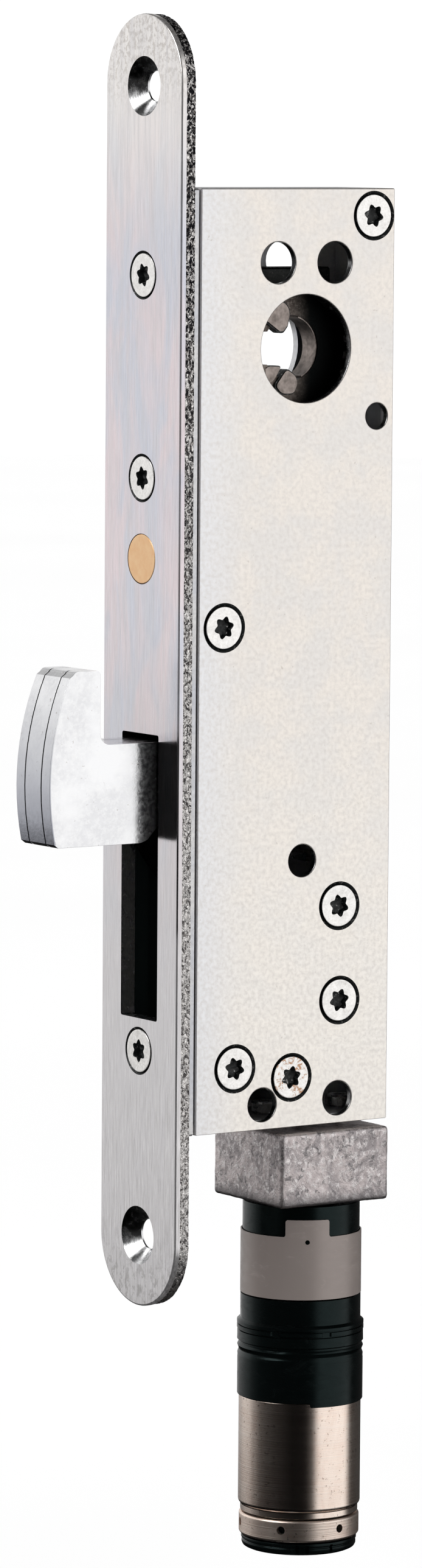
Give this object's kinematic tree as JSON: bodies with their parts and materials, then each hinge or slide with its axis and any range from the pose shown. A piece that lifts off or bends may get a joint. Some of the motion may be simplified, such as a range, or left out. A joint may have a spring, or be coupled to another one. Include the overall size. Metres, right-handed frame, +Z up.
{
  "type": "electric hook-bolt mortice lock case",
  "caption": "Narrow motor-driven mortice lock case: round-ended faceplate, swinging hook bolt, cylinder follower, and a gearmotor on an adapter block below.",
  "frame": {"origin": "centre of the faceplate's front face, which lies flush with the edge of the door that holds the lock", "axes": "+Z up along the faceplate, +X into the door, -Y towards the side that carries the screwed cover"},
  "size_m": [0.072, 0.025, 0.2836],
  "materials": {
    "faceplate_steel": "vertically brushed, satin, dull side edges",
    "cover_zinc": "bright zinc plate with a faint mottle, satin",
    "hook_steel": "bright zinc plate, finely speckled",
    "screw_steel": "zinc plate, satin",
    "machined_steel": "turned or milled, oiled",
    "sintered_steel": "sintered, dull, bronze-grey",
    "bronze": "sintered bronze, oiled",
    "cast_zinc": "zinc die casting, rough and mottled",
    "brass": "flat, satin",
    "black_plastic": "moulded, semi-matte",
    "grey_label": "printed foil without its print, satin",
    "motor_steel": "drawn steel can, warm nickel tone, satin",
    "magnet": "sintered ferrite, dull",
    "copper": "enamelled winding, satin",
    "board": "solder mask, satin"
  },
  "bodies": {
    "lock_case": {"faceplate": "faceplate_steel", "face_screw_top": "screw_steel", "face_screw_mid": "screw_steel", "face_screw_low": "screw_steel", "sensor_window": "brass", "door_sensor": "black_plastic", "case_body": "cover_zinc", "cover_plate": "cover_zinc", "cover_screw_top": "screw_steel", "cover_screw_front": "screw_steel", "cover_screw_low_front": "screw_steel", "cover_screw_low_mid": "screw_steel", "cover_screw_bracket_upper": "screw_steel", "cover_screw_bracket_lower": "screw_steel", "post_top": "machined_steel", "post_front": "machined_steel", "post_low_front": "machined_steel", "post_low_mid": "machined_steel", "pivot_pin": "machined_steel", "pivot_washer_near": "machined_steel", "pivot_washer_far": "machined_steel", "follower_housing": "cast_zinc", "spindle_bracket": "cast_zinc", "spindle_bearing": "bronze", "circuit_board": "board", "adapter_block": "cast_zinc", "block_screw_1": "screw_steel", "block_screw_2": "screw_steel", "gearhead_housing": "black_plastic", "output_bearing": "bronze", "gearhead_label": "grey_label", "ring_gear": "machined_steel", "motor_collar": "black_plastic", "motor_can": "motor_steel", "end_ring": "motor_steel", "end_cap": "black_plastic", "terminal_1": "brass", "terminal_2": "brass", "stator_magnet": "magnet", "rotor_bearing": "bronze"},
    "hook": {"hook_core": "hook_steel", "hook_cheek_near": "hook_steel", "hook_cheek_far": "hook_steel", "hook_rivet_1": "machined_steel", "hook_rivet_2": "machined_steel", "hook_bush": "bronze"},
    "slide": {"drive_slide": "machined_steel", "spindle_nut": "bronze", "transfer_bar": "machined_steel", "bar_screw": "screw_steel", "position_magnet": "magnet"},
    "follower": {"follower": "sintered_steel"},
    "spindle": {"leadscrew": "machined_steel", "shaft_coupling": "machined_steel", "planet_carrier": "machined_steel"},
    "planet_1": {"planet_gear_1": "sintered_steel"},
    "planet_2": {"planet_gear_2": "sintered_steel"},
    "planet_3": {"planet_gear_3": "sintered_steel"},
    "rotor": {"rotor_shaft": "machined_steel", "rotor_core": "copper"}
  },
  "joints": [
    {"name": "hook_swing", "type": "hinge", "parent": "lock_case", "child": "hook", "pos_m": [0.026, 0, -0.021], "axis": [0, -1, 0], "range_deg": [0, 84]},
    {"name": "slide_travel", "type": "slide", "parent": "lock_case", "child": "slide", "axis": [0, 0, 1], "range_m": [0, 0.01175]},
    {"name": "follower_turn", "type": "hinge", "parent": "lock_case", "child": "follower", "pos_m": [0.0295, 0, 0.05725], "axis": [0, -1, 0], "range_deg": [0, 51.75]},
    {"name": "spindle_turn", "type": "hinge", "parent": "lock_case", "child": "spindle", "pos_m": [0.0363, 0, -0.08], "axis": [0, 0, -1], "range_deg": [0, 845.5]},
    {"name": "planet_1_turn", "type": "hinge", "parent": "spindle", "child": "planet_1", "pos_m": [0.0417, 0, -0.1095], "axis": [0, 0, 1], "range_deg": [0, 2366.5]},
    {"name": "planet_2_turn", "type": "hinge", "parent": "spindle", "child": "planet_2", "pos_m": [0.0336, 0.00468, -0.1095], "axis": [0, 0, 1], "range_deg": [0, 2366.5]},
    {"name": "planet_3_turn", "type": "hinge", "parent": "spindle", "child": "planet_3", "pos_m": [0.0336, -0.00468, -0.1095], "axis": [0, 0, 1], "range_deg": [0, 2366.5]},
    {"name": "rotor_spin", "type": "hinge", "parent": "lock_case", "child": "rotor", "pos_m": [0.0363, 0, -0.14], "axis": [0, 0, -1], "range_deg": [0, 3803.1]}
  ],
  "couplings": [
    {"joint": "slide_travel", "follows": "hook_swing", "m_per_rad": 0.008},
    {"joint": "follower_turn", "follows": "hook_swing", "ratio": 0.61538},
    {"joint": "spindle_turn", "follows": "hook_swing", "ratio": 10.053},
    {"joint": "planet_1_turn", "follows": "hook_swing", "ratio": 28.149},
    {"joint": "planet_2_turn", "follows": "hook_swing", "ratio": 28.149},
    {"joint": "planet_3_turn", "follows": "hook_swing", "ratio": 28.149},
    {"joint": "rotor_spin", "follows": "hook_swing", "ratio": 45.239}
  ]
}
